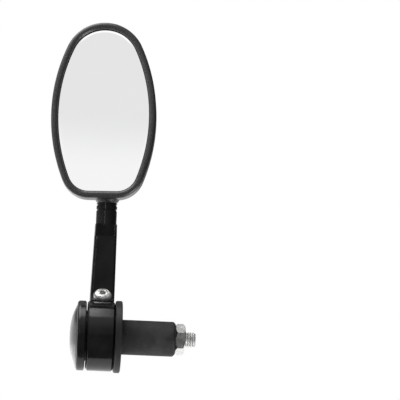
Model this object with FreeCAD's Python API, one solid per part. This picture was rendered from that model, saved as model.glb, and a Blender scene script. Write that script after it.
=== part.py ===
import FreeCAD, Part
import math
import os

os.makedirs("parts", exist_ok=True)
V = FreeCAD.Vector

# Handlebar plug, measured along the bar axis X from the flange face that seats on the bar
FLANGE_D = 37.2
FLANGE_T = 3.4
FLANGE_EDGE = 0.5
JOURNAL_D = 26.0
RING_W = 14.0
RING_OD = 36.0
RING_EDGE = 0.8
RING_TO_FLANGE = 0.4
RING_TO_CAP = 0.6
CAP_D = 36.0
CAP_RIM_T = 4.6
CAP_OUTER_EDGE = 1.6
CAP_INNER_EDGE = 0.6
CAP_FLOOR_T = 2.2
SPIGOT_D = 18.0
SPIGOT_L = 5.2
DOME_D = 31.1
DOME_SEAT_T = 1.2
DOME_RISE = 3.4
DOME_WALL = 1.0
DOME_SHOULDER = 0.2

# Expander bolt, rubber sleeve and nut
BOLT_D = 8.0
BOLT_L = 55.0
BOLT_HEAD_D = 13.0
BOLT_HEAD_T = 5.0
BOLT_KEY = 5.0
BOLT_KEY_DEPTH = 3.0
BOLT_END_EDGE = 0.9
WASHER_D = 13.6
WASHER_T = 1.2
SLEEVE_L = 28.0
SLEEVE_D = 18.0
SLEEVE_END_CUT_L = 1.0
SLEEVE_END_CUT_R = 1.2
NUT_AF = 14.0
NUT_T = 5.0
NUT_EDGE_DEG = 28.0
NUT_TURN_DEG = 43.4

# Arm: clamp root, leaning bar and round neck
PINCH_DEG = 40.0
PINCH_R = 16.7
LUG_R = 21.6
LUG_W = 12.0
LUG_BELOW = 9.6
LUG_INNER_R = 13.6
SLOT_W = 1.6
SCREW_D = 5.0
SCREW_L = 20.0
SCREW_HEAD_D = 9.4
SCREW_HEAD_T = 2.75
SCREW_KEY = 3.0
SCREW_KEY_DEPTH = 1.6
SCREW_SEAT = 12.6
POCKET_REACH = 20.0
BAR_X_LOW = -10.4
NECK_X = -9.9
BAR_ROOT_Y = 13.3
BAR_ROOT_Z = 11.0
BAR_KNEE_Y = 18.6
BAR_KNEE_Z = 51.0
BAR_TOP_Z = 57.2
BAR_ROOT_W = 13.0
BAR_KNEE_W = 11.7
BAR_TOP_W = 11.3
BAR_ROOT_T = 9.4
BAR_KNEE_T = 9.4
BAR_TOP_T = 11.0
BAR_CORNER = 1.6
NECK_D = 10.8
NECK_LEAN_DEG = 7.0
NECK_SINK = 0.8
GROOVE_W = 0.9
GROOVE_DEPTH = 0.4
GROOVE_DROPS = (6.3, 8.9)

# Ball joint
BALL_Y = 20.2
BALL_Z = 73.6
BALL_D = 9.0
STUD_WAIST_D = 4.8
STUD_D = 6.0
STUD_DROP = 9.4
STUD_L = 12.0
RACE_T = 1.05
RACE_HALF_H = 3.3
CUP_FOOT = 1.8
CUP_TOP = 6.8
CUP_HOLE_D = 4.0
SPRING_H = 1.5
SPRING_T = 0.6
PLATE_T = 1.6
PLATE_D = 10.2
PLATE_HOLE_D = 3.0
SOCKET_WALL = 1.6
SWING_DEG = 13.5
EAR_D = 5.4
EAR_SPAN = 18.8
FIXING_D = 2.5
FIXING_L = 8.0
FIXING_HEAD_D = 4.6
FIXING_HEAD_T = 1.6
FIXING_KEY = 1.5
FIXING_KEY_DEPTH = 0.9

# Mirror head, built round the ball centre and then turned on it
HEAD_PAN_DEG = -4.0
HEAD_ROLL_DEG = -1.3
HEAD_W = 55.0
HEAD_LOWER_H = 43.4
HEAD_TOP_R = 21.4
HEAD_UPPER_R = 89.0
HEAD_LOWER_R = 92.0
HEAD_CORNER_R = 14.6
HEAD_DEPTH = 21.5
HEAD_BACK_R = 9.0
HEAD_DOME_R = 400.0
HEAD_WALL = 2.4
RIM_W = 3.4
RIM_ROUND = 1.5
LEDGE_W = 2.0
LEDGE_T = 1.6
BALL_DEPTH = 12.0
BALL_ABOVE_FLOOR = 3.6
BALL_SIDE = 2.4
GLASS_RECESS = 1.6
GLASS_T = 2.0
GLASS_CURVE_R = 1200.0
GLASS_BEVEL = 0.5
TAPE_T = 0.8

# Clearances on radius, and end gaps
RUN_FIT = 0.05
SLIP_FIT = 0.05
HOLE_EASE = 0.25
CUP_GAP = 0.4
GLASS_EASE = 0.15
TAPE_EASE = 0.15

# Stations and sizes that follow
FLANGE_X = -FLANGE_T
RING_X1 = FLANGE_X - RING_TO_FLANGE
RING_X0 = RING_X1 - RING_W
CAP_X = RING_X0 - RING_TO_CAP
CAP_RIM_X = CAP_X - CAP_RIM_T
SPIGOT_X = CAP_X + SPIGOT_L
FLOOR_X = SPIGOT_X - CAP_FLOOR_T
WASHER_X = FLOOR_X - WASHER_T
HEAD_X = WASHER_X - BOLT_HEAD_T
DOME_X = CAP_RIM_X - DOME_RISE
DOME_SEAT_X = CAP_RIM_X + DOME_SEAT_T
BOLT_END_X = WASHER_X + BOLT_L
BOLT_HOLE_R = BOLT_D / 2 + HOLE_EASE
RING_BORE_R = JOURNAL_D / 2 + RUN_FIT
BALL_R = BALL_D / 2
RACE_R = BALL_R + RUN_FIT + RACE_T
SEAT_R = RACE_R + RUN_FIT
SOCKET_R = SEAT_R + SOCKET_WALL
NECK_CUP_R = SOCKET_R + CUP_GAP
SPRING_FOOT = CUP_TOP
PLATE_FOOT = SPRING_FOOT + SPRING_H
GLASS_FRONT = GLASS_RECESS
GLASS_BACK = GLASS_FRONT + GLASS_T
LEDGE_FRONT = GLASS_BACK + TAPE_T
HEAD_HALF_W = HEAD_W / 2
BALL_AT = V(NECK_X, BALL_Y, BALL_Z)
PINCH = math.radians(PINCH_DEG)
LEAN = math.radians(NECK_LEAN_DEG)

X_AXIS = V(1, 0, 0)
Y_AXIS = V(0, 1, 0)
Z_AXIS = V(0, 0, 1)
ORIGIN = V(0, 0, 0)


def turned(axis, points):
    """Solid of revolution about X or Z from a closed outline of (station, radius) points."""
    if axis == X_AXIS:
        corners = [V(s, r, 0) for s, r in points]
    else:
        corners = [V(r, 0, s) for s, r in points]
    outline = Part.makePolygon(corners + corners[:1])
    return Part.Face(outline).revolve(ORIGIN, axis, 360)


def round_x(x0, x1, radius, y=0.0, z=0.0):
    """Cylinder along X between two stations."""
    return Part.makeCylinder(radius, x1 - x0, V(x0, y, z), X_AXIS)


def round_z(z0, z1, radius, x=0.0, y=0.0):
    """Cylinder along Z between two stations."""
    return Part.makeCylinder(radius, z1 - z0, V(x, y, z0), Z_AXIS)


def hexagon(across_flats):
    """Closed hexagon in the XY plane with a corner on X."""
    corner = across_flats / math.sqrt(3)
    turns = [math.radians(60 * k) for k in range(7)]
    return Part.makePolygon([V(corner * math.cos(t), corner * math.sin(t), 0) for t in turns])


def hex_z(across_flats, z0, z1):
    """Hexagonal prism along Z."""
    prism = Part.Face(hexagon(across_flats)).extrude(V(0, 0, z1 - z0))
    prism.translate(V(0, 0, z0))
    return prism


def along_x(shape, x):
    """Turns a piece modelled along Z so that it runs along X from station x."""
    placed = shape.copy()
    placed.Placement = FreeCAD.Placement(V(x, 0, 0), FreeCAD.Rotation(Y_AXIS, 90))
    return placed


def export(shape, node):
    """Writes one finished piece, with split faces merged where they can be."""
    try:
        shape = shape.removeSplitter()
    except Part.OCCError:
        print("faces of " + node + " left as they are")
    shape.exportStep("parts/" + node + ".step")


# Bar end pieces

def make_spool():
    """Flange and journal in one, with a counterbore for the cap spigot."""
    outline = [
        (CAP_X, SPIGOT_D / 2 + SLIP_FIT),
        (CAP_X, JOURNAL_D / 2),
        (FLANGE_X, JOURNAL_D / 2),
        (FLANGE_X, FLANGE_D / 2 - FLANGE_EDGE),
        (FLANGE_X + FLANGE_EDGE, FLANGE_D / 2),
        (-FLANGE_EDGE, FLANGE_D / 2),
        (0.0, FLANGE_D / 2 - FLANGE_EDGE),
        (0.0, BOLT_HOLE_R),
        (SPIGOT_X, BOLT_HOLE_R),
        (SPIGOT_X, SPIGOT_D / 2 + SLIP_FIT),
    ]
    return turned(X_AXIS, outline)


def make_end_cap():
    """Outer disc with its spigot, a recess for the bolt head and a seat for the dome cover."""
    head_room = WASHER_D / 2 + HOLE_EASE
    outline = [
        (SPIGOT_X, BOLT_HOLE_R),
        (SPIGOT_X, SPIGOT_D / 2),
        (CAP_X, SPIGOT_D / 2),
        (CAP_X, CAP_D / 2 - CAP_INNER_EDGE),
        (CAP_X - CAP_INNER_EDGE, CAP_D / 2),
        (CAP_RIM_X, CAP_D / 2),
        (CAP_RIM_X, DOME_D / 2 + SLIP_FIT),
        (DOME_SEAT_X, DOME_D / 2 + SLIP_FIT),
        (DOME_SEAT_X, head_room),
        (FLOOR_X, head_room),
        (FLOOR_X, BOLT_HOLE_R),
    ]
    cap = turned(X_AXIS, outline)
    rim_edges = []
    for edge in cap.Edges:
        box = edge.BoundBox
        flat = abs(box.XMin - CAP_RIM_X) < 1e-6 and abs(box.XMax - CAP_RIM_X) < 1e-6
        if flat and abs(box.YMax - CAP_D / 2) < 1e-6:
            rim_edges.append(edge)
    return cap.makeFillet(CAP_OUTER_EDGE, rim_edges)


def dome_line(x_top, x_side, radius):
    """Curve from the dome centre to its side: flat on the axis, steep at the side."""
    rise = x_side - x_top
    curve = Part.BezierCurve()
    curve.setPoles([
        V(x_top, 0, 0),
        V(x_top, radius * 0.58, 0),
        V(x_top + rise * 0.55, radius * 0.8, 0),
        V(x_side, radius, 0),
    ])
    return curve.toShape()


def make_dome_cover():
    """Hollow domed disc pressed into the cap."""
    side_x = CAP_RIM_X - DOME_SHOULDER
    radius = DOME_D / 2
    inner_radius = radius - DOME_WALL
    outer = dome_line(DOME_X, side_x, radius)
    inner = dome_line(DOME_X + DOME_WALL, side_x + DOME_WALL, inner_radius)
    lines = [
        outer,
        Part.makeLine(V(side_x, radius, 0), V(DOME_SEAT_X, radius, 0)),
        Part.makeLine(V(DOME_SEAT_X, radius, 0), V(DOME_SEAT_X, inner_radius, 0)),
        Part.makeLine(V(DOME_SEAT_X, inner_radius, 0), V(side_x + DOME_WALL, inner_radius, 0)),
        inner,
        Part.makeLine(V(DOME_X + DOME_WALL, 0, 0), V(DOME_X, 0, 0)),
    ]
    face = Part.Face(Part.Wire(Part.sortEdges(lines)[0]))
    return face.revolve(ORIGIN, X_AXIS, 360)


def make_bolt_washer():
    """Plain washer under the bolt head."""
    return round_x(WASHER_X, FLOOR_X, WASHER_D / 2).cut(round_x(WASHER_X, FLOOR_X, BOLT_HOLE_R))


def make_expander_bolt():
    """Low-head socket screw through the whole plug."""
    outline = [
        (HEAD_X, 0.0),
        (HEAD_X, BOLT_HEAD_D / 2 - BOLT_END_EDGE),
        (HEAD_X + BOLT_END_EDGE, BOLT_HEAD_D / 2),
        (WASHER_X, BOLT_HEAD_D / 2),
        (WASHER_X, BOLT_D / 2),
        (BOLT_END_X - BOLT_END_EDGE, BOLT_D / 2),
        (BOLT_END_X, BOLT_D / 2 - BOLT_END_EDGE),
        (BOLT_END_X, 0.0),
    ]
    socket = along_x(hex_z(BOLT_KEY, 0.0, BOLT_KEY_DEPTH), HEAD_X)
    return turned(X_AXIS, outline).cut(socket)


def make_expander_sleeve():
    """Rubber tube with a coned end under the nut."""
    cut_x = SLEEVE_L - SLEEVE_END_CUT_L
    outline = [
        (0.0, BOLT_HOLE_R),
        (0.0, SLEEVE_D / 2),
        (cut_x, SLEEVE_D / 2),
        (SLEEVE_L, SLEEVE_D / 2 - SLEEVE_END_CUT_R),
        (SLEEVE_L, BOLT_HOLE_R),
    ]
    return turned(X_AXIS, outline)


def make_expander_nut():
    """Hexagon nut with both faces chamfered and a flat towards the front and up."""
    corner = NUT_AF / math.sqrt(3)
    flat = NUT_AF / 2
    drop = (corner - flat) * math.tan(math.radians(NUT_EDGE_DEG)) * 1.6
    envelope = turned(Z_AXIS, [
        (0.0, 0.0),
        (0.0, flat * 0.97),
        (drop, corner),
        (NUT_T - drop, corner),
        (NUT_T, flat * 0.97),
        (NUT_T, 0.0),
    ])
    body = hex_z(NUT_AF, 0.0, NUT_T).common(envelope)
    body = body.cut(round_z(0.0, NUT_T, BOLT_D / 2 + RUN_FIT))
    body.rotate(ORIGIN, Z_AXIS, NUT_TURN_DEG)
    return along_x(body, SLEEVE_L)


# Arm pieces

def pinch_frame():
    """Placement whose Z runs up the pinch screw and whose X runs out along the slot."""
    out = V(0, math.cos(PINCH), math.sin(PINCH))
    up = V(0, -math.sin(PINCH), math.cos(PINCH))
    side = up.cross(out)
    turn = FreeCAD.Rotation(out, side, up, "ZXY")
    return FreeCAD.Placement(V(BAR_X_LOW, 0, 0), turn)


def in_pinch(shape):
    """Puts a piece modelled in the pinch frame into place."""
    placed = shape.copy()
    placed.Placement = pinch_frame().multiply(placed.Placement)
    return placed


def neck_frame():
    """Placement at the ball centre whose Z runs up the leaning neck."""
    return FreeCAD.Placement(BALL_AT, FreeCAD.Rotation(X_AXIS, -NECK_LEAN_DEG))


def in_neck(shape):
    """Puts a piece modelled about the ball centre, neck upright, into place."""
    placed = shape.copy()
    placed.Placement = neck_frame().multiply(placed.Placement)
    return placed


def section(x, y, z, lean, width, thick):
    """Rounded rectangle across the bar at a centre point, tipped back by an angle."""
    half_w = width / 2 - BAR_CORNER
    half_t = thick / 2 - BAR_CORNER
    q = BAR_CORNER * math.sqrt(0.5)
    runs = []
    for sx, sy in ((1, -1), (1, 1), (-1, 1), (-1, -1)):
        hub = V(sx * half_w, sy * half_t, 0)
        across = V(sx * BAR_CORNER, 0, 0)
        deep = V(0, sy * BAR_CORNER, 0)
        middle = V(sx * q, sy * q, 0)
        if sx * sy < 0:
            ends = (deep, across)
        else:
            ends = (across, deep)
        runs.append((hub + ends[0], hub + middle, hub + ends[1]))
    edges = []
    for k, (start, middle, end) in enumerate(runs):
        edges.append(Part.Arc(start, middle, end).toShape())
        edges.append(Part.makeLine(end, runs[(k + 1) % 4][0]))
    wire = Part.Wire(edges)
    turn = FreeCAD.Rotation(X_AXIS, -math.degrees(lean))
    wire.Placement = FreeCAD.Placement(V(x, y, z), turn)
    return wire


def make_bar():
    """Leaning bar whose short top steps forward to the neck."""
    lean = math.atan2(BAR_KNEE_Y - BAR_ROOT_Y, BAR_KNEE_Z - BAR_ROOT_Z)
    top_y = BALL_Y - (BALL_Z - BAR_TOP_Z) * math.tan(LEAN)
    root = section(BAR_X_LOW, BAR_ROOT_Y, BAR_ROOT_Z, lean, BAR_ROOT_W, BAR_ROOT_T)
    knee = section(NECK_X, BAR_KNEE_Y, BAR_KNEE_Z, lean, BAR_KNEE_W, BAR_KNEE_T)
    top = section(NECK_X, top_y, BAR_TOP_Z, LEAN, BAR_TOP_W, BAR_TOP_T)
    return Part.makeLoft([root, knee, top], True, True)


def make_neck():
    """Round post with two turned grooves and a hollow top that clears the ball socket."""
    radius = NECK_D / 2
    rim = -math.sqrt(NECK_CUP_R ** 2 - radius ** 2)
    foot = (BAR_TOP_Z - BALL_Z) / math.cos(LEAN) - NECK_SINK
    post = round_z(foot, rim, radius)
    post = post.cut(Part.makeSphere(NECK_CUP_R))
    for drop in GROOVE_DROPS:
        ring = round_z(-drop - GROOVE_W / 2, -drop + GROOVE_W / 2, radius + 1)
        core = round_z(-drop - GROOVE_W / 2, -drop + GROOVE_W / 2, radius - GROOVE_DEPTH)
        post = post.cut(ring.cut(core))
    return post


def make_arm():
    """Split clamp ring, pinch lug, bar and neck in one casting."""
    radius = RING_OD / 2
    ring = turned(X_AXIS, [
        (RING_X0, 0.0),
        (RING_X0, radius - RING_EDGE),
        (RING_X0 + RING_EDGE, radius),
        (RING_X1 - RING_EDGE, radius),
        (RING_X1, radius - RING_EDGE),
        (RING_X1, 0.0),
    ])
    lug = Part.makeBox(
        LUG_R - LUG_INNER_R, LUG_W, LUG_BELOW + SCREW_SEAT,
        V(LUG_INNER_R, -LUG_W / 2, -LUG_BELOW),
    )
    corners = [e for e in lug.Edges if abs(e.BoundBox.XMin - LUG_R) < 1e-6 and e.BoundBox.ZLength > 1]
    lug = lug.makeFillet(LUG_W * 0.28, corners)
    arm = ring.fuse([in_pinch(lug), make_bar(), in_neck(make_neck())])
    slot = Part.makeBox(LUG_R, RING_W * 2, SLOT_W, V(RING_BORE_R - SLOT_W, -RING_W, -SLOT_W / 2))
    pocket = round_z(SCREW_SEAT, SCREW_SEAT + POCKET_REACH, SCREW_HEAD_D / 2 + HOLE_EASE * 2, PINCH_R)
    clear = round_z(0.0, SCREW_SEAT + 1, SCREW_D / 2 + HOLE_EASE, PINCH_R)
    tapped = round_z(-LUG_BELOW * 2, 0.0, SCREW_D / 2, PINCH_R)
    cuts = [in_pinch(tool) for tool in (slot, pocket, clear, tapped)]
    cuts.append(round_x(RING_X0 - 1, RING_X1 + 1, RING_BORE_R))
    cuts.append(in_neck(round_z(-STUD_DROP - STUD_L - HOLE_EASE, -BALL_R, STUD_D / 2 + RUN_FIT)))
    return arm.cut(cuts)


def make_pinch_screw():
    """Button-head socket screw across the slot."""
    radius = SCREW_HEAD_D / 2
    shank = SCREW_D / 2 - RUN_FIT
    top = SCREW_SEAT + SCREW_HEAD_T
    foot = SCREW_SEAT - SCREW_L
    outline = [
        (foot, 0.0),
        (foot, shank - 0.5),
        (foot + 0.5, shank),
        (SCREW_SEAT, shank),
        (SCREW_SEAT, radius),
        (SCREW_SEAT + SCREW_HEAD_T * 0.3, radius),
        (SCREW_SEAT + SCREW_HEAD_T * 0.62, radius * 0.89),
        (SCREW_SEAT + SCREW_HEAD_T * 0.88, radius * 0.72),
        (top, radius * 0.54),
        (top, 0.0),
    ]
    screw = turned(Z_AXIS, outline).cut(hex_z(SCREW_KEY, top - SCREW_KEY_DEPTH, top))
    screw.translate(V(PINCH_R, 0, 0))
    return in_pinch(screw)


# Ball joint pieces, modelled about the ball centre

def make_ball_stud():
    """Ball on a waisted stud whose shank sits in the neck."""
    waist = round_z(-STUD_DROP, 0.0, STUD_WAIST_D / 2)
    shank = round_z(-STUD_DROP - STUD_L, -STUD_DROP, STUD_D / 2)
    return in_neck(Part.makeSphere(BALL_R).fuse([waist, shank]))


def head_frame():
    """Placement of the head: on the ball, leaning with the neck, panned and rolled."""
    pan = FreeCAD.Placement(ORIGIN, FreeCAD.Rotation(Z_AXIS, HEAD_PAN_DEG))
    roll = FreeCAD.Placement(ORIGIN, FreeCAD.Rotation(Y_AXIS, HEAD_ROLL_DEG))
    return neck_frame().multiply(pan).multiply(roll)


def in_head(shape):
    """Puts a piece modelled in the head's own directions into place."""
    placed = shape.copy()
    placed.Placement = head_frame().multiply(placed.Placement)
    return placed


def make_ball_race():
    """Spherical liner between ball and socket, open at both ends."""
    shell = Part.makeSphere(RACE_R).cut(Part.makeSphere(BALL_R + RUN_FIT))
    band = round_z(-RACE_HALF_H, RACE_HALF_H, RACE_R + 1)
    return in_head(shell.common(band))


def make_pressure_cup():
    """Cup that presses on the liner from above."""
    cup = round_z(CUP_FOOT, CUP_TOP, RACE_R)
    cup = cup.cut(Part.makeSphere(SEAT_R))
    return in_head(cup.cut(round_z(CUP_FOOT, CUP_TOP, CUP_HOLE_D / 2)))


def make_disc_spring():
    """Coned spring washer between the cup and the plate."""
    inner = CUP_HOLE_D / 2
    outer = RACE_R - RUN_FIT
    return in_head(turned(Z_AXIS, [
        (SPRING_FOOT, outer),
        (SPRING_FOOT + SPRING_T, outer),
        (SPRING_FOOT + SPRING_H, inner + SPRING_T),
        (SPRING_FOOT + SPRING_H, inner),
        (SPRING_FOOT + SPRING_H - SPRING_T, inner),
    ]))


def make_retainer_plate():
    """Plate across the socket tower, with a hole over each ear."""
    plate = round_z(PLATE_FOOT, PLATE_FOOT + PLATE_T, PLATE_D / 2)
    for side in (-1, 1):
        x = side * EAR_SPAN / 2
        plate = plate.fuse(round_z(PLATE_FOOT, PLATE_FOOT + PLATE_T, EAR_D / 2, x))
        lobe = Part.makeBox(EAR_SPAN / 2, EAR_D, PLATE_T, V(min(x, 0), -EAR_D / 2, PLATE_FOOT))
        plate = plate.fuse(lobe)
    for side in (-1, 1):
        hole = round_z(PLATE_FOOT, PLATE_FOOT + PLATE_T, FIXING_D / 2 + HOLE_EASE, side * EAR_SPAN / 2)
        plate = plate.cut(hole)
    return in_head(plate.cut(round_z(PLATE_FOOT, PLATE_FOOT + PLATE_T, PLATE_HOLE_D / 2)))


def make_retainer_screws():
    """Two small screws that hold the plate on the tower ears."""
    seat = PLATE_FOOT + PLATE_T
    top = seat + FIXING_HEAD_T
    foot = top - FIXING_HEAD_T - FIXING_L
    screws = []
    for side in (-1, 1):
        screw = round_z(foot, seat, FIXING_D / 2).fuse(round_z(seat, top, FIXING_HEAD_D / 2))
        screw = screw.cut(hex_z(FIXING_KEY, top - FIXING_KEY_DEPTH, top))
        screw.translate(V(side * EAR_SPAN / 2, 0, 0))
        screws.append(screw)
    return in_head(Part.makeCompound(screws))


# Head pieces, modelled with depth from the rim front along Y and height from the floor along Z

def arc_between(hub, radius, start_deg, end_deg, y):
    """Arc in the XZ plane round a hub given as (x, z)."""
    points = []
    for deg in (start_deg, (start_deg + end_deg) / 2, end_deg):
        a = math.radians(deg)
        points.append(V(hub[0] + radius * math.cos(a), y, hub[1] + radius * math.sin(a)))
    return Part.Arc(*points).toShape()


def head_outline(inset, depth):
    """Closed outline of tangent arcs on a flat base, drawn in by an inset, at a depth."""
    half = HEAD_HALF_W
    level = HEAD_LOWER_H
    upper = (half - HEAD_UPPER_R, level)
    lower = (half - HEAD_LOWER_R, level)
    rise = math.sqrt((HEAD_UPPER_R - HEAD_TOP_R) ** 2 - upper[0] ** 2)
    crown = (0.0, level + rise)
    reach = math.sqrt((HEAD_LOWER_R - HEAD_CORNER_R) ** 2 - (level - HEAD_CORNER_R) ** 2)
    corner = (lower[0] + reach, HEAD_CORNER_R)
    top_deg = math.degrees(math.atan2(rise, -upper[0]))
    low_deg = math.degrees(math.atan2(corner[1] - level, corner[0] - lower[0]))
    left_corner = (-corner[0], corner[1])
    left_lower = (-lower[0], level)
    left_upper = (-upper[0], level)
    y = depth - BALL_DEPTH
    edges = [
        Part.makeLine(V(-corner[0], y, inset), V(corner[0], y, inset)),
        arc_between(corner, HEAD_CORNER_R - inset, -90, low_deg, y),
        arc_between(lower, HEAD_LOWER_R - inset, low_deg, 0, y),
        arc_between(upper, HEAD_UPPER_R - inset, 0, top_deg, y),
        arc_between(crown, HEAD_TOP_R - inset, top_deg, 180 - top_deg, y),
        arc_between(left_upper, HEAD_UPPER_R - inset, 180 - top_deg, 180, y),
        arc_between(left_lower, HEAD_LOWER_R - inset, 180, 180 - low_deg, y),
        arc_between(left_corner, HEAD_CORNER_R - inset, 180 - low_deg, 270, y),
    ]
    wire = Part.Wire(edges)
    wire.translate(V(-BALL_SIDE, 0, -BALL_ABOVE_FLOOR))
    return wire


def head_block(inset, front, back):
    """Prism of the inset outline between two depths."""
    return Part.Face(head_outline(inset, front)).extrude(V(0, back - front, 0))


def domed_block(inset, front, back, dome_r, round_r):
    """Prism whose back is gently domed and generously rounded at its edge."""
    block = head_block(inset, front, back)
    middle = HEAD_LOWER_H - BALL_ABOVE_FLOOR
    ball = Part.makeSphere(dome_r, V(-BALL_SIDE, back - BALL_DEPTH - dome_r, middle))
    block = block.common(ball)
    front_y = front - BALL_DEPTH
    back_edges = []
    for edge in block.Edges:
        if edge.BoundBox.YMin > front_y + 0.1 and edge.BoundBox.YLength < (back - front) / 2:
            back_edges.append(edge)
    return block.makeFillet(round_r, back_edges)


def front_edges(shape, depth):
    """Edges that lie in the plane at a depth."""
    y = depth - BALL_DEPTH
    return [e for e in shape.Edges if abs(e.BoundBox.YMin - y) < 1e-4 and abs(e.BoundBox.YMax - y) < 1e-4]


def make_mirror_housing():
    """Shell with a rounded rim, a ledge for the glass and a socket tower for the ball."""
    outer = domed_block(0.0, 0.0, HEAD_DEPTH, HEAD_DOME_R, HEAD_BACK_R)
    ledge_back = LEDGE_FRONT + LEDGE_T
    shell = outer.cut(head_block(RIM_W, -1.0, LEDGE_FRONT))
    shell = shell.makeFillet(RIM_ROUND, front_edges(shell, 0.0))
    shell = shell.cut(head_block(RIM_W + LEDGE_W, LEDGE_FRONT - 0.5, ledge_back + 0.5))
    cavity = domed_block(
        HEAD_WALL, ledge_back, HEAD_DEPTH - HEAD_WALL, HEAD_DOME_R - HEAD_WALL, HEAD_BACK_R - HEAD_WALL,
    )
    shell = shell.cut(cavity)
    tower = round_z(-BALL_ABOVE_FLOOR, PLATE_FOOT, SOCKET_R)
    for side in (-1, 1):
        tower = tower.fuse(round_z(-BALL_ABOVE_FLOOR, PLATE_FOOT, EAR_D / 2, side * EAR_SPAN / 2))
    shell = shell.fuse([tower.common(outer), Part.makeSphere(SOCKET_R).common(
        round_z(-SOCKET_R, 0.0, SOCKET_R))])
    swing = math.tan(math.radians(SWING_DEG))
    waist = STUD_WAIST_D / 2 / math.cos(math.radians(SWING_DEG)) + HOLE_EASE
    mouth = turned(Z_AXIS, [
        (0.0, 0.0),
        (0.0, waist),
        (-SOCKET_R - 1, waist + (SOCKET_R + 1) * swing),
        (-SOCKET_R - 1, 0.0),
    ])
    seat = Part.makeSphere(SEAT_R).fuse(round_z(0.0, PLATE_FOOT + 1, SEAT_R))
    shell = shell.cut(mouth).cut(seat)
    for side in (-1, 1):
        foot = PLATE_FOOT + PLATE_T - FIXING_L - HOLE_EASE
        shell = shell.cut(round_z(foot, PLATE_FOOT + 1, FIXING_D / 2, side * EAR_SPAN / 2))
    return in_head(shell)


def make_mirror_glass():
    """Convex glass with a ground bevel round its front edge."""
    inset = RIM_W + GLASS_EASE
    block = head_block(inset, GLASS_FRONT - 1, GLASS_BACK)
    middle = HEAD_LOWER_H - BALL_ABOVE_FLOOR
    hub_y = GLASS_FRONT - BALL_DEPTH + GLASS_CURVE_R
    ball = Part.makeSphere(GLASS_CURVE_R, V(-BALL_SIDE, hub_y, middle))
    block = block.common(ball)
    back_y = GLASS_BACK - BALL_DEPTH
    rim = [e for e in block.Edges if e.BoundBox.YMax < back_y - GLASS_BEVEL and e.BoundBox.YLength < GLASS_T / 2]
    return in_head(block.makeChamfer(GLASS_BEVEL, rim))


def make_glass_tape():
    """Foam ring on the ledge behind the glass."""
    outer = head_block(RIM_W + GLASS_EASE + TAPE_EASE, GLASS_BACK, LEDGE_FRONT)
    inner = head_block(RIM_W + LEDGE_W - TAPE_EASE, GLASS_BACK, LEDGE_FRONT)
    return in_head(outer.cut(inner))


export(make_spool(), "spool")
export(make_end_cap(), "end_cap")
export(make_dome_cover(), "dome_cover")
export(make_bolt_washer(), "bolt_washer")
export(make_expander_bolt(), "expander_bolt")
export(make_expander_sleeve(), "expander_sleeve")
export(make_expander_nut(), "expander_nut")
export(make_arm(), "arm")
export(make_pinch_screw(), "pinch_screw")
export(make_ball_stud(), "ball_stud")
export(make_ball_race(), "ball_race")
export(make_pressure_cup(), "pressure_cup")
export(make_disc_spring(), "disc_spring")
export(make_retainer_plate(), "retainer_plate")
export(make_retainer_screws(), "retainer_screws")
export(make_mirror_housing(), "mirror_housing")
export(make_mirror_glass(), "mirror_glass")
export(make_glass_tape(), "glass_tape")
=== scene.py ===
"""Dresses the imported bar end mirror: finishes, cut threads, rubber sleeve, silvered glass, studio."""

import logging
import math
from dataclasses import dataclass, field
from enum import Enum
from typing import Any, Optional, Union

import bpy
import numpy as np
from mathutils import Matrix, Vector


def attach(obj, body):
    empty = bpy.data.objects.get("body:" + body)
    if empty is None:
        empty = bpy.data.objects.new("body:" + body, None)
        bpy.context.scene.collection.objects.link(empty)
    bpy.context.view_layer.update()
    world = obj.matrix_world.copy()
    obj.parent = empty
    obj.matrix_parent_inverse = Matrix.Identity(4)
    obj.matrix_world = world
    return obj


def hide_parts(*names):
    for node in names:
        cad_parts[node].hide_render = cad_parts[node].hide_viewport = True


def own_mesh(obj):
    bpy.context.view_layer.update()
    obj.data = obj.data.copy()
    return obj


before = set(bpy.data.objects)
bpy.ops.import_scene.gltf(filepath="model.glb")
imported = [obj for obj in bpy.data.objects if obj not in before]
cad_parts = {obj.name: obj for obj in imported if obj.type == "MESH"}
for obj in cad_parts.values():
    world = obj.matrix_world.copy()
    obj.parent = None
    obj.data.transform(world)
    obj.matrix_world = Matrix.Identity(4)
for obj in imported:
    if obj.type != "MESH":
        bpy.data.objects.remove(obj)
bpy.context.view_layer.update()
log = logging.getLogger("bar_end_mirror")
MM = 0.001

Pair = tuple[float, float]
Triple = tuple[float, float, float]
Number = Union["Val", float]

# Angles in degrees above which an edge stays sharp, on screws and glass and on the soft sleeve
HARD_CREASE = 32.0
SOFT_CREASE = 50.0

# Sides of a screw's hexagon socket
HEXAGON_FLATS = 6

# Lathe lines in radians a metre, and the height in metres that a full bump stands for
LATHE_WAVES = 16000.0
BUMP_DEPTH = 0.00004

# Patches of a finish: octaves of their noise, and the values between which one colour turns to the other
PATCH_DETAIL = 4.0
PATCH_STEP = (0.3, 0.72)

# Thread with painted shade in its roots: radii in metres of its painted dark root and bright crest, and
# the share that is still patchy
THREAD_SHADE_STEP = (0.00325, 0.0040)
THREAD_MOTTLE = 0.2


class Axis(Enum):
    """Unit directions that pieces are turned about."""

    X = (1.0, 0.0, 0.0)
    Y = (0.0, 1.0, 0.0)
    Z = (0.0, 0.0, 1.0)


class GlassBand(Enum):
    """Material slots of the mirror glass."""

    FACE = 0
    EDGE = 1
    BACK = 2


def turn(axis: Axis, degrees: float) -> np.ndarray:
    """Rotation matrix about one unit axis.

    Args:
        axis: direction that the turn is about.
        degrees: angle by the right-hand rule.

    Returns:
        A 4 by 4 matrix.
    """
    return np.array(Matrix.Rotation(math.radians(degrees), 4, Vector(axis.value)))


def shift(x: float, y: float, z: float) -> np.ndarray:
    """Matrix that moves by a vector, in the unit of the points that it carries."""
    return np.array(Matrix.Translation((x, y, z)))


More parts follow.
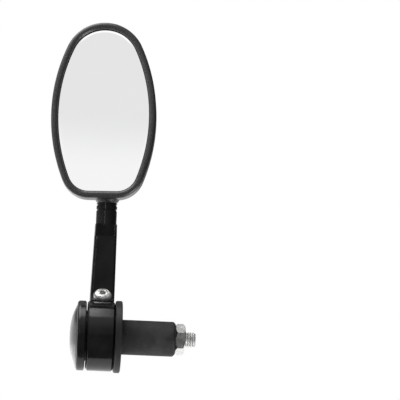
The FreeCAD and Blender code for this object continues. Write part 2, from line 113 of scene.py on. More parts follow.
def carried(points: np.ndarray, place: np.ndarray) -> np.ndarray:
    """Points moved by a 4 by 4 matrix.

    Args:
        points: array whose last axis is x, y, z.
        place: the matrix.

    Returns:
        An array of the same shape.
    """
    return points @ place[:3, :3].T + place[:3, 3]


def round_angles(count: int) -> np.ndarray:
    """Angles in radians of evenly spaced points round a circle."""
    return np.linspace(0, 2 * np.pi, count, endpoint=False)


def swept(along: np.ndarray, radius: np.ndarray) -> np.ndarray:
    """Rings round the X axis: each point at its length, and at its radius times cosine and sine.

    Args:
        along: length of each point along the axis, rings by points.
        radius: distance of each point from the axis, in the same layout.

    Returns:
        Array of rings, points and x, y, z.
    """
    angle = round_angles(along.shape[1])
    return np.stack([along, radius * np.cos(angle), radius * np.sin(angle)], axis=-1)


def ring_faces(rows: int, cols: int) -> np.ndarray:
    """Quads of a grid of rings, each ring closed on itself.

    Args:
        rows: number of rings.
        cols: points in a ring.

    Returns:
        Vertex indices, one quad a row.
    """
    r, c = np.meshgrid(np.arange(rows - 1), np.arange(cols), indexing="ij")
    nxt = (c + 1) % cols
    quads = np.stack([r * cols + c, r * cols + nxt, (r + 1) * cols + nxt, (r + 1) * cols + c], axis=-1)
    return quads.reshape(-1, 4)


def linked(name: str, verts: np.ndarray, faces: list[list[int]], crease: float) -> bpy.types.Object:
    """Smooth mesh object at the origin.

    Args:
        name: name of the object.
        verts: points in metres.
        faces: vertex indices of each face.
        crease: angle in degrees above which an edge stays sharp.

    Returns:
        The object, in the scene.
    """
    mesh = bpy.data.meshes.new(name)
    mesh.from_pydata(verts.tolist(), [], faces)
    mesh.polygons.foreach_set("use_smooth", np.ones(len(mesh.polygons), dtype=bool))
    mesh.set_sharp_from_angle(angle=math.radians(crease))
    mesh.update()
    piece = bpy.data.objects.new(name, mesh)
    bpy.context.scene.collection.objects.link(piece)
    return piece


def ring_mesh(name: str, rings: np.ndarray, bands: Optional[np.ndarray] = None) -> bpy.types.Object:
    """Closed skin through a stack of rings, with a fan of triangles on the first and last ring.

    Args:
        name: name of the object.
        rings: array of rings, points and x, y, z, in metres.
        bands: material slot of each band between two rings.

    Returns:
        The linked object.
    """
    rows, cols = rings.shape[:2]
    hubs = np.stack([rings[0].mean(axis=0), rings[-1].mean(axis=0)])
    here = np.arange(cols)
    nxt = (here + 1) % cols
    base = (rows - 1) * cols
    first = np.stack([nxt, here, np.full(cols, rows * cols)], axis=-1)
    last = np.stack([base + here, base + nxt, np.full(cols, rows * cols + 1)], axis=-1)
    faces = ring_faces(rows, cols).tolist() + first.tolist() + last.tolist()
    piece = linked(name, np.concatenate([rings.reshape(-1, 3), hubs]), faces, HARD_CREASE)
    if bands is not None:
        slots = np.repeat([*bands, bands[0], bands[-1]], cols)
        piece.data.polygons.foreach_set("material_index", slots.astype(np.int32))
        piece.data.update()
    return piece


def tube_mesh(name: str, rings: np.ndarray) -> bpy.types.Object:
    """Closed skin through rings whose last joins back to the first, as in a thick tube.

    Args:
        name: name of the object.
        rings: array of rings, points and x, y, z, in metres.

    Returns:
        The linked object.
    """
    rows, cols = rings.shape[:2]
    quads = ring_faces(rows + 1, cols) % (rows * cols)
    return linked(name, rings.reshape(-1, 3), quads.tolist(), SOFT_CREASE)


class Val:
    """A shader socket whose arithmetic adds Math nodes."""

    def __init__(self, shader: "Shader", socket: bpy.types.NodeSocket) -> None:
        """Keeps the shader that the socket belongs to."""
        self.shader = shader
        self.socket = socket

    def _math(self, operation: str, *terms: Number) -> "Val":
        """One Math node of the given operation."""
        return self.shader.node("ShaderNodeMath", {"operation": operation}, dict(enumerate(terms)))

    def __add__(self, other: Number) -> "Val":
        """Sum."""
        return self._math("ADD", self, other)

    __radd__ = __add__

    def __sub__(self, other: Number) -> "Val":
        """Difference."""
        return self._math("SUBTRACT", self, other)

    def __rsub__(self, other: Number) -> "Val":
        """Difference from a number."""
        return self._math("SUBTRACT", other, self)

    def __mul__(self, other: Number) -> "Val":
        """Product."""
        return self._math("MULTIPLY", self, other)

    __rmul__ = __mul__

    def larger(self, other: Number) -> "Val":
        """The larger of two values."""
        return self._math("MAXIMUM", self, other)

    def root(self) -> "Val":
        """Square root."""
        return self._math("SQRT", self)

    def wave(self) -> "Val":
        """Sine."""
        return self._math("SINE", self)

    def step(self, low: float, high: float) -> "Val":
        """Smooth rise from 0 at low to 1 at high."""
        inputs = {"Value": self, "From Min": low, "From Max": high}
        return self.shader.node("ShaderNodeMapRange", {"interpolation_type": "SMOOTHSTEP"}, inputs)


class Shader:
    """Node tree of a material or a world, with one method that adds nodes."""

    def __init__(self, tree: bpy.types.NodeTree) -> None:
        """Keeps the node tree that nodes go into."""
        self.tree = tree

    def node(self, kind: str, settings: Optional[dict[str, Any]] = None,
             inputs: Optional[dict[Any, Any]] = None, out: Union[int, str] = 0) -> Val:
        """Adds a node.

        Args:
            kind: node type.
            settings: properties set before anything is linked.
            inputs: socket name or number to a number, colour or Val.
            out: output socket that is returned.

        Returns:
            The chosen output.
        """
        made = self.tree.nodes.new(kind)
        for key, value in (settings or {}).items():
            setattr(made, key, value)
        for key, value in (inputs or {}).items():
            if isinstance(value, Val):
                self.feed(value, made.inputs[key])
            else:
                made.inputs[key].default_value = value
        return Val(self, made.outputs[out])

    def feed(self, value: Val, socket: bpy.types.NodeSocket) -> None:
        """Links a value to an input."""
        self.tree.links.new(value.socket, socket)

    def place(self) -> Val:
        """Object coordinates."""
        return self.node("ShaderNodeTexCoord", out="Object")

    def split(self, vector: Val) -> tuple[Val, Val, Val]:
        """The three parts of a vector.

        Args:
            vector: what is taken apart.

        Returns:
            Its x, y and z.
        """
        whole = self.node("ShaderNodeSeparateXYZ", None, {0: vector})
        x, y, z = whole.socket.node.outputs
        return Val(self, x), Val(self, y), Val(self, z)

    def bar_radius(self) -> Val:
        """Distance from the bar's axis, the root of y squared plus z squared."""
        _, y, z = self.split(self.place())
        return (y * y + z * z).root()

    def noise(self, scale: float, detail: float) -> Val:
        """Noise between 0 and 1 at a number of cells a metre."""
        inputs = {"Vector": self.place(), "Scale": scale, "Detail": detail}
        return self.node("ShaderNodeTexNoise", None, inputs)

    def blend(self, mask: Val, low: Triple, high: Triple) -> Val:
        """Colour between two, by a mask."""
        inputs = {0: mask, 6: (*low, 1.0), 7: (*high, 1.0)}
        return self.node("ShaderNodeMix", {"data_type": "RGBA"}, inputs, out=2)

    def bump(self, height: Val, strength: float) -> Val:
        """Normal from a height."""
        inputs = {"Height": height, "Strength": strength, "Distance": BUMP_DEPTH}
        return self.node("ShaderNodeBump", None, inputs)


class Grain(Enum):
    """Surface textures that a finish can carry."""

    TURNED = "turned"
    PEEL = "peel"
    MOULDED = "moulded"
    PLATED = "plated"
    THREAD = "thread"
    CLEAR = "clear"


# Cells a metre and octaves of the noise behind each grain that is a noise
GRAIN_NOISE: dict[Grain, Pair] = {
    Grain.PEEL: (650.0, 1.0),
    Grain.MOULDED: (2600.0, 3.0),
    Grain.PLATED: (1500.0, 2.0),
    Grain.THREAD: (1500.0, 2.0),
}


@dataclass(frozen=True)
class Finish:
    """One surface finish: colours, gloss and grain."""

    name: str
    low: Triple
    high: Triple
    rough: float
    rough_span: float
    grain: Grain
    metallic: float = 0.0
    specular: float = 0.5
    patch: float = 90.0
    relief: float = 0.2

    def _height(self, shader: Shader) -> Val:
        """Height of the grain: the mean of sine lathe lines on radius and on length, or a noise.

        Args:
            shader: node tree of the material.

        Returns:
            The height, before its strength and depth.
        """
        if self.grain is Grain.TURNED:
            along, _, _ = shader.split(shader.place())
            return ((shader.bar_radius() * LATHE_WAVES).wave() + (along * LATHE_WAVES).wave()) * 0.5
        return shader.noise(*GRAIN_NOISE[self.grain])

    def _mask(self, shader: Shader) -> Val:
        """Mask between the two colours: soft patches, or on a thread mostly the depth of its cut, which
        paints shade into the roots.

        Args:
            shader: node tree of the material.

        Returns:
            0 for the low colour, 1 for the high one.
        """
        patch = shader.noise(self.patch, PATCH_DETAIL).step(*PATCH_STEP)
        # Painted shade: the deeper the thread's cut, the closer its colour is to the low one
        if self.grain is Grain.THREAD:
            return shader.bar_radius().step(*THREAD_SHADE_STEP) * (patch * THREAD_MOTTLE + (1 - THREAD_MOTTLE))
        return patch

    def material(self) -> bpy.types.Material:
        """Material of this finish.

        Returns:
            A material whose colour, roughness and, unless it is clear, normal vary over the surface.
        """
        made = bpy.data.materials.new(self.name)
        made.use_nodes = True
        shader = Shader(made.node_tree)
        skin = made.node_tree.nodes["Principled BSDF"]
        skin.inputs["Metallic"].default_value = self.metallic
        skin.inputs["Specular IOR Level"].default_value = self.specular
        mask = self._mask(shader)
        shader.feed(shader.blend(mask, self.low, self.high), skin.inputs["Base Color"])
        shader.feed(mask * self.rough_span + self.rough, skin.inputs["Roughness"])
        if self.grain is not Grain.CLEAR:
            shader.feed(shader.bump(self._height(shader), self.relief), skin.inputs["Normal"])
        return made


ANODISED = Finish("black_anodised", (0.004, 0.004, 0.0045), (0.007, 0.007, 0.0075), 0.20, 0.06,
                  Grain.TURNED, relief=0.04)
FLANGE = Finish("bead_blasted_black", (0.008, 0.008, 0.0087), (0.013, 0.013, 0.0138), 0.44, 0.08,
                Grain.MOULDED, relief=0.15)
CASTING = Finish("coated_casting", (0.004, 0.004, 0.0043), (0.009, 0.009, 0.0095), 0.13, 0.05,
                 Grain.PEEL, relief=0.02)
HOUSING = Finish("housing_black", (0.030, 0.030, 0.0315), (0.034, 0.034, 0.0357), 0.33, 0.04,
                 Grain.PEEL, relief=0.015)
ZINC = Finish("bright_zinc", (0.78, 0.78, 0.77), (0.90, 0.90, 0.89), 0.24, 0.10,
              Grain.PLATED, metallic=1.0, patch=260.0, relief=0.12)
# The thread's low colour is painted shade in the roots of its cut
BOLT = Finish("thread_painted_root_shade", (0.50, 0.50, 0.495), (0.96, 0.96, 0.95), 0.58, -0.05,
              Grain.THREAD, metallic=1.0, patch=260.0, relief=0.12)
SCREW = Finish("satin_zinc", (0.70, 0.70, 0.69), (0.88, 0.88, 0.87), 0.24, 0.12,
               Grain.PLATED, metallic=1.0, patch=700.0, relief=0.2)
STEEL = Finish("oiled_steel", (0.16, 0.16, 0.165), (0.24, 0.24, 0.245), 0.28, 0.12,
               Grain.PLATED, metallic=1.0)
RUBBER = Finish("moulded_rubber", (0.012, 0.012, 0.012), (0.042, 0.042, 0.042), 0.60, 0.16,
                Grain.MOULDED, specular=0.4, patch=130.0, relief=0.4)
NYLON = Finish("moulded_nylon", (0.70, 0.69, 0.65), (0.80, 0.79, 0.75), 0.42, 0.1, Grain.MOULDED)
FOAM = Finish("foam_tape", (0.03, 0.03, 0.03), (0.06, 0.06, 0.06), 0.85, 0.1, Grain.MOULDED, relief=0.8)
SILVER = Finish("silvered_glass", (0.955, 0.957, 0.96), (0.965, 0.967, 0.97), 0.0, 0.003,
                Grain.CLEAR, metallic=1.0, patch=30.0)
GROUND = Finish("ground_glass_edge", (0.90, 0.91, 0.91), (0.96, 0.965, 0.965), 0.5, 0.15,
                Grain.MOULDED, patch=400.0, relief=0.05)
BACKING = Finish("glass_back_paint", (0.10, 0.10, 0.11), (0.14, 0.14, 0.15), 0.6, 0.1, Grain.MOULDED)


@dataclass
class Wardrobe:
    """Materials made once and handed to every piece that wears them."""

    made: dict[str, bpy.types.Material] = field(default_factory=dict)

    def get(self, finish: Finish) -> bpy.types.Material:
        """The material of a finish, made on first use.

        Args:
            finish: what the material is made from.

        Returns:
            The material.
        """
        if finish.name not in self.made:
            self.made[finish.name] = finish.material()
        return self.made[finish.name]

    def dress(self, piece: bpy.types.Object, *finishes: Finish) -> None:
        """Puts finishes into a piece's material slots in order.

        Args:
            piece: object to dress.
            finishes: one finish for each slot.
        """
        piece.data.materials.clear()
        for finish in finishes:
            piece.data.materials.append(self.get(finish))

    def dress_node(self, node: str, finish: Finish) -> None:
        """Puts one finish on every slot of a carried-over solid.

        Args:
            node: name of the solid.
            finish: its finish.
        """
        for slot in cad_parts[node].material_slots:
            slot.material = self.get(finish)
        log.info("dressed %s", node)


@dataclass
class Thread:
    """Screw thread as a radius over length and angle, in mm, with its lead in pitches."""

    major: float
    pitch: float
    depth_share: float = 0.58
    flank: float = 2.6
    crest_flat: float = 0.15
    lead: float = 0.7
    rings_a_pitch: int = 14

    @property
    def depth(self) -> float:
        """Depth of the cut."""
        return self.pitch * self.depth_share

    def radius(self, along: np.ndarray, angle: np.ndarray) -> np.ndarray:
        """Radius that falls in a flat-topped V once a pitch, advancing one pitch a turn.

        Args:
            along: distance along the axis.
            angle: angle round the axis, in radians.

        Returns:
            Radii in mm.
        """
        phase = np.mod(along / self.pitch - angle / (2 * np.pi), 1.0)
        tooth = np.clip(self.flank * np.abs(phase - 0.5) - self.crest_flat, 0.0, 1.0)
        return self.major - self.depth * tooth


@dataclass
class SocketScrew:
    """Screw with a hexagon socket: a head profile, a plain shank and a thread, in mm.

    The skin is a stack of rings along the axis. Each ring is a circle of the head profile, the
    hexagon's polar radius in the socket, or the thread's radius over length and angle. The socket's
    floor and its flared mouth are given as shares of the hexagon.
    """

    head: list[Pair]
    key: float
    key_depth: float
    shank_end: float
    thread_end: float
    thread: Thread
    cols: int = 96
    key_bevel: float = 0.12
    key_flare: float = 1.06
    key_floor: float = 0.3

    def head_rings(self) -> tuple[np.ndarray, np.ndarray]:
        """Rings from the socket's floor over the head to the end of the plain shank.

        The hexagon's radius is half the key over the cosine of the angle from the nearest flat's
        middle.

        Returns:
            Lengths and radii, rings by points.
        """
        flat = 2 * np.pi / HEXAGON_FLATS
        sector = np.mod(round_angles(self.cols) + flat / 2, flat) - flat / 2
        hexagon = self.key / 2 / np.cos(sector)
        top = self.head[0][0]
        steps = [
            (top + self.key_depth, hexagon * self.key_floor),
            (top + self.key_depth, hexagon),
            (top + self.key_bevel, hexagon),
            (top, hexagon * self.key_flare),
            *self.head,
            (self.shank_end, self.thread.major),
        ]
        along = np.stack([np.full(self.cols, x) for x, _ in steps])
        radius = np.stack([np.broadcast_to(r, self.cols) for _, r in steps])
        return along, radius

    def thread_rings(self) -> tuple[np.ndarray, np.ndarray]:
        """Rings of the thread: its cut deepens over the first pitch, and a cone trims its end.

        Returns:
            Lengths and radii, rings by points.
        """
        thread = self.thread
        rows = int((self.thread_end - self.shank_end) / thread.pitch * thread.rings_a_pitch)
        run = np.linspace(self.shank_end, self.thread_end, rows)
        along, angle = np.meshgrid(run, round_angles(self.cols), indexing="ij")
        fade_in = np.clip((along - self.shank_end) / thread.pitch, 0, 1)
        cut = (thread.major - thread.radius(along, angle)) * fade_in
        lead = np.clip((self.thread_end - along) / (thread.pitch * thread.lead), 0, 1)
        cone = thread.major - thread.depth * (1 - lead)
        return along, np.minimum(thread.major - cut, cone)

    def rings(self) -> np.ndarray:
        """Rings of the screw along its own +X, head first.

        Returns:
            Array of rings, points and x, y, z.
        """
        along, radius = (np.concatenate(pair) for pair in zip(self.head_rings(), self.thread_rings()))
        return swept(along, radius)


# Points that ease the sleeve's corners, in edge radii along the bar and outwards from each corner
FLANGE_EASE: tuple[Pair, ...] = ((0.0, -1.0), (0.3, -0.3), (1.0, 0.0))
NOSE_EASE: tuple[Pair, ...] = ((-1.0, 0.0), (-0.2, -0.15), (0.4, -0.9))
END_EASE: tuple[Pair, ...] = ((-0.5, 0.75), (0.0, -0.3))

# Where rings stand along the sleeve's straight side
SIDE_SHARES = (0.25, 0.5, 0.75)


@dataclass
class HandlebarPlug:
    """Cap, dome, spool, rubber sleeve, bolt and nut along the bar axis, in mm.

    The middle of the bolt head's rounded edge is given as shares of that edge, along and inwards.
    """

    head_x: float = -21.6
    washer_x: float = -16.6
    head_r: float = 6.5
    head_edge: float = 0.9
    edge_middle: Pair = (0.35, 0.3)
    bolt_r: float = 4.0
    bolt_end: float = 38.4
    thread_start: float = 20.0
    pitch: float = 1.25
    key: float = 5.0
    key_depth: float = 3.0
    sleeve_l: float = 28.0
    sleeve_r: float = 9.0
    sleeve_cols: int = 96
    bore_r: float = 4.25
    cut_l: float = 1.0
    cut_r: float = 1.2
    edge: float = 0.35
    nut_draw: float = 3.0

    @property
    def squash_keep(self) -> float:
        """Share of the sleeve's length that is left when the nut is drawn right in."""
        return (self.sleeve_l - self.nut_draw) / self.sleeve_l

    def build_bolt(self, wear: Wardrobe) -> None:
        """Long socket screw with its thread cut from inside the sleeve to the end.

        Args:
            wear: where the finish comes from.
        """
        along, inward = self.edge_middle
        head = [
            (self.head_x, self.head_r - self.head_edge),
            (self.head_x + self.head_edge * along, self.head_r - self.head_edge * inward),
            (self.head_x + self.head_edge, self.head_r),
            (self.washer_x, self.head_r),
            (self.washer_x, self.bolt_r),
        ]
        thread = Thread(self.bolt_r, self.pitch)
        screw = SocketScrew(head, self.key, self.key_depth, self.thread_start, self.bolt_end, thread)
        piece = ring_mesh("expander_bolt_threaded", screw.rings() * MM)
        wear.dress(piece, BOLT)
        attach(piece, "bolt")
        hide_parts("expander_bolt")
        log.info("built %s", piece.name)

    def sleeve_profile(self) -> np.ndarray:
        """Outline of the sleeve's wall, from the bore at the flange out, along and back to the bore.

        Each corner gives way to points that stand off it by shares of the edge's radius.

        Returns:
            Array of points, length and radius.
        """
        nose = self.sleeve_l - self.cut_l
        return np.concatenate([
            [(0.0, self.bore_r)],
            np.array((0.0, self.sleeve_r)) + self.edge * np.array(FLANGE_EASE),
            [(nose * share, self.sleeve_r) for share in SIDE_SHARES],
            np.array((nose, self.sleeve_r)) + self.edge * np.array(NOSE_EASE),
            np.array((self.sleeve_l, self.sleeve_r - self.cut_r)) + self.edge * np.array(END_EASE),
            [(self.sleeve_l, self.bore_r)],
        ])

    def build_sleeve(self, wear: Wardrobe) -> None:
        """Rubber sleeve: rounded ends, a coned nose and a bore, swept round the bar axis.

        Args:
            wear: where the finish comes from.
        """
        along, radius = np.repeat(self.sleeve_profile().T[:, :, None], self.sleeve_cols, axis=2)
        piece = tube_mesh("expander_sleeve_rubber", swept(along, radius) * MM)
        wear.dress(piece, RUBBER)
        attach(piece, "bar_end")
        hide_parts("expander_sleeve")
        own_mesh(piece)
        log.info("built %s", piece.name)

    def dress(self, wear: Wardrobe) -> None:
        """Finishes of the turned pieces and the nut, which keep their solids.

        Args:
            wear: where the finishes come from.
        """
        for node in ("end_cap", "dome_cover"):
            wear.dress_node(node, ANODISED)
        wear.dress_node("spool", FLANGE)
        for node in ("bolt_washer", "expander_nut"):
            wear.dress_node(node, ZINC)


# Button head from its socket out: depth in head heights, 1 where a groove is cut, radius in head radii
BUTTON_PROFILE: tuple[Triple, ...] = (
    (0.00, 0, 0.42), (0.00, 1, 0.44), (0.00, 1, 0.485), (0.00, 0, 0.505), (0.00, 0, 0.57),
    (0.06, 0, 0.65), (0.07, 1, 0.665), (0.12, 1, 0.715), (0.14, 0, 0.735), (0.18, 0, 0.78),
    (0.34, 0, 0.88), (0.52, 0, 0.95), (0.62, 0, 0.97), (0.66, 0, 0.985), (0.72, 0, 1.00),
    (0.96, 0, 1.00), (1.00, 0, 0.98),
)


@dataclass
class ClampArm:
    """Arm casting and its pinch screw, in mm and degrees."""

    pinch_deg: float = 40.0
    pinch_r: float = 16.7
    arm_x: float = -10.4
    seat: float = 12.6
    head_r: float = 4.7
    head_t: float = 2.75
    groove: float = 0.16
    screw_r: float = 2.45
    plain_l: float = 8.0
    screw_l: float = 20.0
    screw_cols: int = 72
    pitch: float = 0.8
    key: float = 3.0
    key_depth: float = 1.6

    def place(self) -> np.ndarray:
        """Matrix from the screw's own axis, head at the start of +X, to the pinch line.

        Returns:
            A 4 by 4 matrix in mm.
        """
        a = math.radians(self.pinch_deg)
        across = np.array(Axis.X.value)
        out = np.array([0.0, math.cos(a), math.sin(a)])
        up = np.array([0.0, -math.sin(a), math.cos(a)])
        place = np.eye(4)
        place[:3, :3] = np.stack([-up, across, -out], axis=1)
        place[:3, 3] = out * self.pinch_r + up * (self.seat + self.head_t) + across * self.arm_x
        return place

    def build_screw(self, wear: Wardrobe) -> None:
        """Button head with two turned grooves on a thin flange, hexagon socket and thread.

        Args:
            wear: where the finish comes from.
        """
        t = self.head_t
        head = [(t * deep + self.groove * cut, self.head_r * out) for deep, cut, out in BUTTON_PROFILE]
        head.append((t, self.screw_r))
        thread = Thread(self.screw_r, self.pitch)
        screw = SocketScrew(head, self.key, self.key_depth, t + self.plain_l, t + self.screw_l, thread,
                            self.screw_cols)
        piece = ring_mesh("pinch_screw_button", carried(screw.rings(), self.place()) * MM)
        wear.dress(piece, SCREW)
        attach(piece, "arm")
        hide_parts("pinch_screw")
        log.info("built %s", piece.name)

    def dress(self, wear: Wardrobe) -> None:
        """Finish of the casting."""
        wear.dress_node("arm", CASTING)


@dataclass
class MirrorHead:
    """Housing, glass and the ball joint inside, in mm and degrees about the ball centre."""

    ball: Triple = (-9.9, 20.2, 73.6)
    lean: float = 7.0
    pan: float = -4.0
    roll: float = -1.3
    width: float = 55.0
    lower_h: float = 43.4
    top_r: float = 21.4
    upper_r: float = 89.0
    lower_r: float = 92.0
    corner_r: float = 14.6
    ball_depth: float = 12.0
    ball_rise: float = 3.6
    ball_side: float = 2.4
    rim: float = 3.4
    glass_ease: float = 0.15
    glass_front: float = 1.6
    glass_t: float = 2.0
    glass_curve: float = 1200.0
    bevel: float = 0.3
    margin: float = 1.0
    margin_tilt: float = 3.2
    crease: float = 0.05
    arc_points: int = 40
    base_points: int = 13
    face_rings: int = 26
    hub_share: float = 0.02

    def place(self) -> np.ndarray:
        """Matrix from the head's own directions to the model, in mm."""
        turned = turn(Axis.X, -self.lean) @ turn(Axis.Z, self.pan) @ turn(Axis.Y, self.roll)
        return shift(*self.ball) @ turned

    def outline(self, inset: float) -> np.ndarray:
        """Rim outline of tangent arcs on a flat base, drawn in by an inset.

        Each arc keeps its hub and loses the inset from its radius, so the arcs stay tangent. The
        right half runs from the middle of the base to the top, and its mirror image closes it.

        Args:
            inset: distance inside the outer outline.

        Returns:
            Array of points, x and height above the base.
        """
        half = self.width / 2
        upper_x = half - self.upper_r
        lower_x = half - self.lower_r
        rise = math.sqrt((self.upper_r - self.top_r) ** 2 - upper_x ** 2)
        reach = math.sqrt((self.lower_r - self.corner_r) ** 2 - (self.lower_h - self.corner_r) ** 2)
        corner_x = lower_x + reach
        top_z = self.lower_h + rise
        top_a = math.atan2(rise, -upper_x)
        low_a = math.atan2(self.corner_r - self.lower_h, reach)
        arcs = [
            (corner_x, self.corner_r, self.corner_r, -math.pi / 2, low_a),
            (lower_x, self.lower_h, self.lower_r, low_a, 0.0),
            (upper_x, self.lower_h, self.upper_r, 0.0, top_a),
            (0.0, top_z, self.top_r, top_a, math.pi / 2),
        ]
        base_x = np.linspace(0.0, corner_x, self.base_points, endpoint=False)
        runs = [np.stack([base_x, np.full(self.base_points, inset)], axis=1)]
        for x, z, radius, start, end in arcs:
            a = np.linspace(start, end, self.arc_points, endpoint=False)
            r = radius - inset
            runs.append(np.stack([x + r * np.cos(a), z + r * np.sin(a)], axis=1))
        runs.append(np.array([[0.0, top_z + self.top_r - inset]]))
        right = np.concatenate(runs)
        left = right[-2:0:-1] * np.array([-1.0, 1.0])
        return np.concatenate([right, left])

    def dome(self, flat: np.ndarray) -> np.ndarray:
        """Depth of the glass: its front plus the distance from its middle squared over twice its curve.

        Args:
            flat: points of x and height above the base.

        Returns:
            Depths behind the front of the rim.
        """
        away = flat - np.array([0.0, self.lower_h])
        return self.glass_front + (away ** 2).sum(axis=-1) / (2 * self.glass_curve)

    def glass_rings(self) -> np.ndarray:
        """Rings of the glass: shrunken outlines on a dome, the rolled margin, bevel, edge and back.

        The margin falls away from the dome in proportion to the distance from its crease.

        Returns:
            Array of rings, points and x, y, z, in the head's own directions from the ball centre.
        """
        edge_in = self.rim + self.glass_ease
        lip_in = edge_in + self.bevel
        face = self.outline(lip_in + self.margin)
        crease = self.outline(lip_in + self.margin - self.crease)
        lip = self.outline(lip_in)
        edge = self.outline(edge_in)
        middle = np.array([0.0, self.lower_h])
        shares = np.linspace(self.hub_share, 1.0, self.face_rings)[:, None, None]
        flat = middle + shares * (face - middle)
        hub = middle + self.hub_share * (edge - middle)
        rings = np.concatenate([flat, np.stack([crease, lip, edge, edge, hub])])
        slope = math.tan(math.radians(self.margin_tilt))
        crease_deep = self.dome(crease) + self.crease * slope
        lip_deep = self.dome(lip) + self.margin * slope
        back = np.full(len(edge), self.glass_front + self.glass_t)
        rest = np.stack([crease_deep, lip_deep, lip_deep + self.bevel, back, back])
        deep = np.concatenate([self.dome(flat), rest])
        ball = np.array([self.ball_side, self.ball_depth, self.ball_rise])
        return np.stack([rings[..., 0], deep, rings[..., 1]], axis=-1) - ball

    def build_glass(self, wear: Wardrobe) -> None:
        """Convex silvered glass with a ground edge and a painted back.

        Args:
            wear: where the finishes come from.
        """
        bands = np.repeat([band.value for band in GlassBand], [self.face_rings + 1, 2, 1])
        rings = carried(self.glass_rings(), self.place()) * MM
        piece = ring_mesh("mirror_glass_silvered", rings, bands)
        wear.dress(piece, SILVER, GROUND, BACKING)
        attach(piece, "head")
        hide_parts("mirror_glass")
        log.info("built %s", piece.name)

    def dress(self, wear: Wardrobe) -> None:
        """Finishes of the shell and of the pieces inside it.

        Args:
            wear: where the finishes come from.
        """
        wear.dress_node("mirror_housing", HOUSING)
        wear.dress_node("glass_tape", FOAM)
        for node in ("ball_race", "pressure_cup"):
            wear.dress_node(node, NYLON)
        for node in ("ball_stud", "disc_spring", "retainer_plate", "retainer_screws"):
            wear.dress_node(node, STEEL)


@dataclass
class Floor:
    """Round pale floor below the object and behind it, in metres, whose painted glow is dimmer near the
    object as a painted shadow.
    """

    height: float = -0.25
    radius: float = 1.1
    middle_y: float = 1.02
    hub_share: float = 0.05
    rows: int = 6
    cols: int = 64
    paint: float = 0.7
    rough: float = 0.9
    near_glow_painted_shadow: float = 0.4
    far_glow: float = 0.95
    painted_shadow_fade: Pair = (0.25, 0.8)

    def build(self) -> None:
        """Rings of growing radius at one height, with a painted glow that rises away from the object and
        leaves a painted shadow below it.
        """
        angle = round_angles(self.cols)
        radii = np.linspace(self.hub_share, 1.0, self.rows)[:, None] * self.radius
        level = np.full((self.rows, self.cols), self.height)
        flat = np.stack([radii * np.cos(angle), radii * np.sin(angle) + self.middle_y, level], axis=-1)
        hub = np.array([[0.0, self.middle_y, self.height]])
        here = np.arange(self.cols)
        fan = np.stack([here, (here + 1) % self.cols, np.full(self.cols, flat.size // 3)], axis=-1)
        faces = ring_faces(self.rows, self.cols)[:, ::-1].tolist() + fan.tolist()
        floor = linked("floor", np.concatenate([flat.reshape(-1, 3), hub]), faces, SOFT_CREASE)
        floor.data.materials.append(self.material())

    def material(self) -> bpy.types.Material:
        """Matt pale paint with a painted glow that rises with the distance from the point below the
        origin, leaving a painted shadow near the object.

        Returns:
            The material.
        """
        made = bpy.data.materials.new("floor_painted_glow_and_shadow")
        made.use_nodes = True
        skin = made.node_tree.nodes["Principled BSDF"]
        skin.inputs["Base Color"].default_value = (self.paint, self.paint, self.paint, 1.0)
        skin.inputs["Roughness"].default_value = self.rough
        skin.inputs["Emission Strength"].default_value = 1.0
        shader = Shader(made.node_tree)
        x, y, _ = shader.split(shader.place())
        # Painted shadow: the floor glows less near the object and more away from it
        away = (x * x + y * y).root().step(*self.painted_shadow_fade)
        glow = shader.blend(away, (self.near_glow_painted_shadow,) * 3, (self.far_glow,) * 3)
        shader.feed(glow, skin.inputs["Emission Color"])
        return made


@dataclass(frozen=True)
class Zone:
    """Brightness that rises smoothly over a range of one part of a direction."""

    low: float
    high: float
    level: float = 1.0

    def over(self, part: Val) -> Val:
        """The zone's brightness for a part of a direction."""
        return part.step(self.low, self.high) * self.level


@dataclass
class Room:
    """Surroundings by direction: white to the camera and dim to the black parts.

    The dim room is a base level, a back wall or the ceiling, whichever is brighter, and a left side.
    A perfectly sharp reflection sees a pale field on the camera's side in its place. The field is
    bright at its foot and greyer above, with a narrow bright band that the glass's margin shows.
    """

    base: float = 0.075
    wall: Zone = Zone(0.45, 0.95, 0.12)
    ceiling: Zone = Zone(0.42, 0.85, 0.24)
    eaves: Zone = Zone(0.1, 0.3, 0.13)
    left: Zone = Zone(0.75, 1.0, 0.15)
    left_way: Pair = (-0.9, 0.45)
    field_side: Zone = Zone(0.2, 0.4)
    field_foot: float = 0.945
    field_grey: Zone = Zone(0.205, 0.285, 0.13)
    band_start: Zone = Zone(0.42, 0.46, 0.25)
    band_end: Zone = Zone(0.51, 0.6, 0.25)

    def dim(self, x: Val, y: Val, z: Val) -> Val:
        """Brightness of the dim room.

        Args:
            x: part of the direction along the bar.
            y: part of the direction away from the camera.
            z: part of the direction upwards.

        Returns:
            The sum of the room's zones.
        """
        ceiling = self.ceiling.over(z) + self.eaves.over(z)
        left = self.left.over(x * self.left_way[0] + y * self.left_way[1])
        return self.wall.over(y).larger(ceiling) + left + self.base

    def pale(self, z: Val) -> Val:
        """Brightness of the pale field by height."""
        return self.field_foot - self.field_grey.over(z) + self.band_start.over(z) - self.band_end.over(z)

    def build(self) -> None:
        """World whose strength is the room's brightness in each direction."""
        world = bpy.data.worlds.new("room")
        bpy.context.scene.world = world
        world.use_nodes = True
        shader = Shader(world.node_tree)
        x, y, z = shader.split(shader.node("ShaderNodeTexCoord", out="Generated"))
        sharp = shader.node("ShaderNodeLightPath", out="Is Singular Ray") * self.field_side.over(0 - y)
        lit = self.dim(x, y, z) * (1 - sharp) + self.pale(z) * sharp
        seen = shader.node("ShaderNodeLightPath", out="Is Camera Ray")
        glow = world.node_tree.nodes["Background"]
        glow.inputs["Color"].default_value = (1.0, 1.0, 1.0, 1.0)
        shader.feed(lit * (1 - seen) + seen, glow.inputs["Strength"])


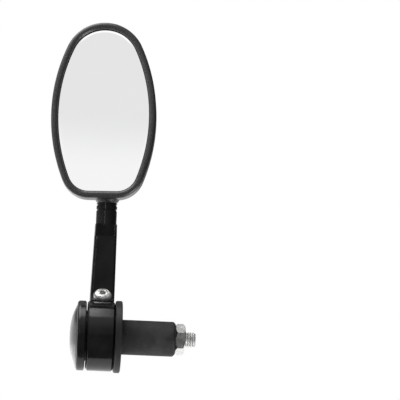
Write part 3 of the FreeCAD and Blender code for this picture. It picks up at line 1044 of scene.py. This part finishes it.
@dataclass(frozen=True)
class Lamp:
    """Soft rectangular lamp that points at a target, in metres and watts.

    Without shine no glossy face shows it, and without wash it lights no matt face.
    """

    name: str
    place: Triple
    target: Triple
    size: Pair
    power: float
    shine: bool = True
    wash: bool = True

    def build(self) -> None:
        """Adds the lamp, which the camera doesn't see."""
        data = bpy.data.lights.new(self.name, "AREA")
        data.shape = "RECTANGLE"
        data.size, data.size_y = self.size
        data.energy = self.power
        lamp = bpy.data.objects.new(self.name, data)
        lamp.location = self.place
        lamp.visible_camera = False
        lamp.visible_glossy = self.shine
        lamp.visible_diffuse = self.wash
        lamp.rotation_mode = "QUATERNION"
        lamp.rotation_quaternion = (Vector(self.target) - Vector(self.place)).to_track_quat("-Z", "Y")
        bpy.context.scene.collection.objects.link(lamp)


LAMPS: tuple[Lamp, ...] = (
    Lamp("overhead", (-0.1533, 0.03, 0.32), (-0.1533, 0.03, 0.0), (0.3, 0.3), 1.0),
    Lamp("left_softbox", (-0.345, 0.33, -0.075), (-0.02, 0.0, -0.075), (0.75, 0.25), 0.62),
    Lamp("right_low", (0.42, -0.42, -0.36), (0.03, 0.0, 0.0), (0.3, 0.3), 3.2, wash=False),
    Lamp("fill", (-0.95, -0.5, 0.2), (-0.01, 0.01, 0.08), (0.6, 0.6), 12.0, shine=False),
    Lamp("left_card", (-0.32, -0.12, 0.14), (-0.03, 0.01, 0.13), (0.2, 0.2), 0.5, shine=False),
    Lamp("under_glow", (0.07, -0.2, -0.5), (0.03, 0.0, 0.0), (0.2, 0.2), 2.2, shine=False),
    Lamp("strip", (-0.398, -1.094, 0.35), (-0.01, 0.012, 0.06), (0.02, 0.3), 0.16),
)


@dataclass
class Studio:
    """Camera, floor, room and lamps, with the camera in metres, degrees and mm of lens."""

    object_mid: Triple = (-0.010, 0.008, 0.072)
    aim: Triple = (0.0381, 0.008, 0.0726)
    distance: float = 1.05
    azimuth: float = -1.5
    elevation: float = 0.0
    roll: float = 2.7
    lens: float = 181.7
    sensor: float = 36.0
    clip_start: float = 0.01

    def build_camera(self) -> None:
        """Long lens in front of the object, aimed beside it so that it stands left in the frame."""
        a = math.radians(self.azimuth)
        e = math.radians(self.elevation)
        r = math.radians(self.roll)
        back = Vector((math.sin(a) * math.cos(e), -math.cos(a) * math.cos(e), math.sin(e)))
        eye = Vector(self.object_mid) + back * self.distance
        ahead = (Vector(self.aim) - eye).normalized()
        right = ahead.cross(Vector(Axis.Z.value)).normalized()
        up = right.cross(ahead)
        rolled_right = right * math.cos(r) + up * math.sin(r)
        rolled_up = up * math.cos(r) - right * math.sin(r)
        basis = Matrix((rolled_right, rolled_up, -ahead)).transposed().to_4x4()
        data = bpy.data.cameras.new("camera")
        data.lens = self.lens
        data.sensor_width = self.sensor
        data.clip_start = self.clip_start
        camera = bpy.data.objects.new("camera", data)
        camera.matrix_world = Matrix.Translation(eye) @ basis
        bpy.context.scene.collection.objects.link(camera)
        bpy.context.scene.camera = camera

    def build(self) -> None:
        """Everything round the object."""
        self.build_camera()
        Floor().build()
        Room().build()
        for lamp in LAMPS:
            lamp.build()
        bpy.context.scene.view_settings.view_transform = "Standard"
        log.info("studio ready")


def main() -> None:
    """Builds the pieces, dresses the solids and sets the studio."""
    logging.basicConfig(level=logging.INFO)
    wear = Wardrobe()
    plug = HandlebarPlug()
    plug.build_bolt(wear)
    plug.build_sleeve(wear)
    plug.dress(wear)
    arm = ClampArm()
    arm.build_screw(wear)
    arm.dress(wear)
    head = MirrorHead()
    head.build_glass(wear)
    head.dress(wear)
    Studio().build()


if __name__ == "__main__":
    main()
